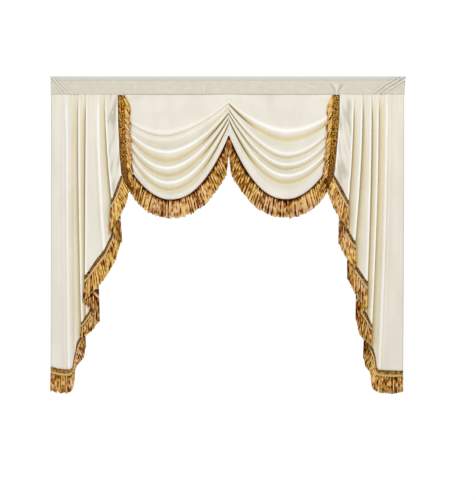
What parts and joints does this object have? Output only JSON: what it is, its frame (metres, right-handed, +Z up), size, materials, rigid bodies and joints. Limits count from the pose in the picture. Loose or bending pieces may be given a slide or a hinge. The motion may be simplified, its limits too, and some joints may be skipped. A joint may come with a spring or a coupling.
{
  "type": "swag valance",
  "caption": "Velvet window valance: a flat heading over draped swags, with pleated cascading tails and a long gold fringe along every free edge.",
  "frame": {"origin": "middle of the heading's top edge, halfway through its thickness", "axes": "+X to the right along the heading as seen from the front, +Y to the wall behind it, +Z up"},
  "size_m": [1.995, 0.0986, 1.7812],
  "materials": {
    "heading_velvet": "short-pile velvet, pressed flat",
    "cream_velvet": "short-pile velvet with a soft sheen",
    "gold_fringe": "twisted viscose yarn, lustrous"
  },
  "bodies": {
    "root": {"heading": "heading_velvet", "tail_left": "cream_velvet", "tail_right": "cream_velvet", "swag_left": "cream_velvet", "swag_right": "cream_velvet", "swag_fringe_left": "gold_fringe", "swag_fringe_right": "gold_fringe", "side_fringe_left": "gold_fringe", "side_fringe_right": "gold_fringe", "cascade_fringe_left": "gold_fringe", "cascade_fringe_right": "gold_fringe", "hem_fringe_left": "gold_fringe", "hem_fringe_right": "gold_fringe"}
  },
  "joints": []
}
